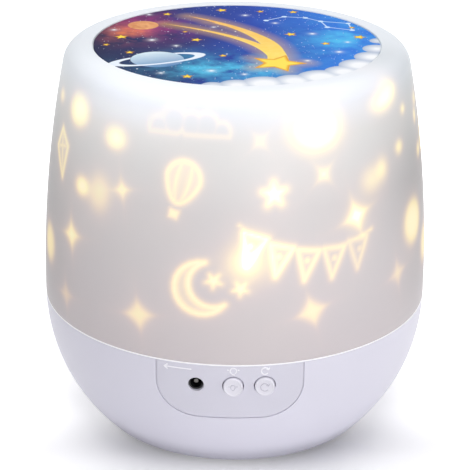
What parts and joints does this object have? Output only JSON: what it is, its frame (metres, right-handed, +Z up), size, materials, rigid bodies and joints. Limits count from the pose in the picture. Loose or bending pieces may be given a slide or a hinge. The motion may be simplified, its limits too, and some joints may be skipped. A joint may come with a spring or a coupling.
{
  "type": "star night light projector",
  "caption": "Round night light with a frosted twist-off shade, a motor-turned star dome inside, a bowl base with two push buttons, a power inlet and a battery well.",
  "frame": {"origin": "on the table under the lamp's vertical axis, at the underside of the rubber feet", "axes": "+Z up; -Y is the front, with the control panel; +X is to the right, seen from the front"},
  "size_m": [0.125, 0.1258, 0.127],
  "materials": {
    "shell_white": "satin moulded ABS, cool white",
    "inner_white": "satin moulded ABS, plain white",
    "button_white": "satin moulded ABS with faint raised marks",
    "ring_white": "bright white nylon glide ring",
    "frosted_shade": "frosted translucent shade with soft glowing night motifs",
    "night_print": "glossy printed night sky",
    "foot_rubber": "soft light-grey rubber",
    "screw_steel": "zinc-plated",
    "cell_sleeve": "glossy dark sleeve with a bright rim",
    "contact_steel": "nickel-plated spring steel",
    "black_plastic": "matt black",
    "switch_metal": "dull grey switch body",
    "board_green": "solder-masked board",
    "board_white": "white solder-masked light board",
    "pin_metal": "bright nickel",
    "gearbox_plastic": "grey gearbox housing",
    "motor_steel": "drawn steel can",
    "gear_nylon": "natural nylon",
    "washer_plastic": "fibre washer",
    "star_film": "dark printed film with clear motifs",
    "clear_plastic": "clear polystyrene",
    "led_yellow": "phosphor-coated light chips",
    "lead_red": "soft insulation",
    "lead_yellow": "soft insulation",
    "lead_black": "soft insulation"
  },
  "bodies": {
    "base": {"base_shell": "shell_white", "control_panel": "shell_white", "deck": "inner_white", "deck_screws": "screw_steel", "rubber_feet": "foot_rubber", "battery_cells": "cell_sleeve", "contact_springs": "contact_steel", "contact_plates": "contact_steel", "switch_bodies": "switch_metal", "control_board": "board_green", "board_components": "black_plastic", "board_screws": "screw_steel", "inlet_housing": "black_plastic", "inlet_pin": "pin_metal", "gearbox": "gearbox_plastic", "motor_can": "motor_steel", "motor_screws": "screw_steel", "thrust_washer": "washer_plastic", "retaining_ring": "contact_steel", "light_post": "inner_white", "post_screws": "screw_steel", "led_board": "board_white", "led_chips": "led_yellow", "led_lens": "clear_plastic", "motor_leads": "lead_red", "led_leads": "lead_yellow", "battery_leads": "lead_black"},
    "door": {"battery_door": "shell_white", "door_screws": "screw_steel"},
    "light_key": {"light_button": "button_white", "light_switch_plunger": "black_plastic"},
    "turn_key": {"turn_button": "button_white", "turn_switch_plunger": "black_plastic"},
    "pinion": {"motor_shaft": "motor_steel", "drive_pinion": "gear_nylon"},
    "star_dome": {"turntable": "inner_white", "ring_gear": "gear_nylon", "film_dome": "star_film", "clear_dome": "clear_plastic"},
    "glide_ring": {"seam_ring": "ring_white"},
    "shade_cover": {"shade": "frosted_shade", "top_print": "night_print"}
  },
  "joints": [
    {"name": "shade_twist", "type": "hinge", "parent": "base", "child": "glide_ring", "pos_m": [0, 0, 0.0445], "axis": [0, 0, 1], "range_deg": [0, 20]},
    {"name": "shade_lift", "type": "slide", "parent": "glide_ring", "child": "shade_cover", "axis": [0, 0, 1], "range_m": [0, 0.1]},
    {"name": "dome_spin", "type": "hinge", "parent": "base", "child": "star_dome", "pos_m": [0, 0, 0.0475], "axis": [0, 0, 1], "continuous": true},
    {"name": "pinion_spin", "type": "hinge", "parent": "base", "child": "pinion", "pos_m": [0, 0.0304, 0.0475], "axis": [0, 0, 1], "continuous": true},
    {"name": "light_press", "type": "slide", "parent": "base", "child": "light_key", "axis": [0, 1, 0], "range_m": [0, 0.0005], "stiffness_N_per_m": 1500, "springref_m": -0.0003},
    {"name": "turn_press", "type": "slide", "parent": "base", "child": "turn_key", "axis": [0, 1, 0], "range_m": [0, 0.0005], "stiffness_N_per_m": 1500, "springref_m": -0.0003},
    {"name": "battery_door_drop", "type": "slide", "parent": "base", "child": "door", "axis": [0, 0, -1], "range_m": [0, 0.025]}
  ],
  "couplings": [
    {"joint": "pinion_spin", "follows": "dome_spin", "ratio": -3.75}
  ]
}
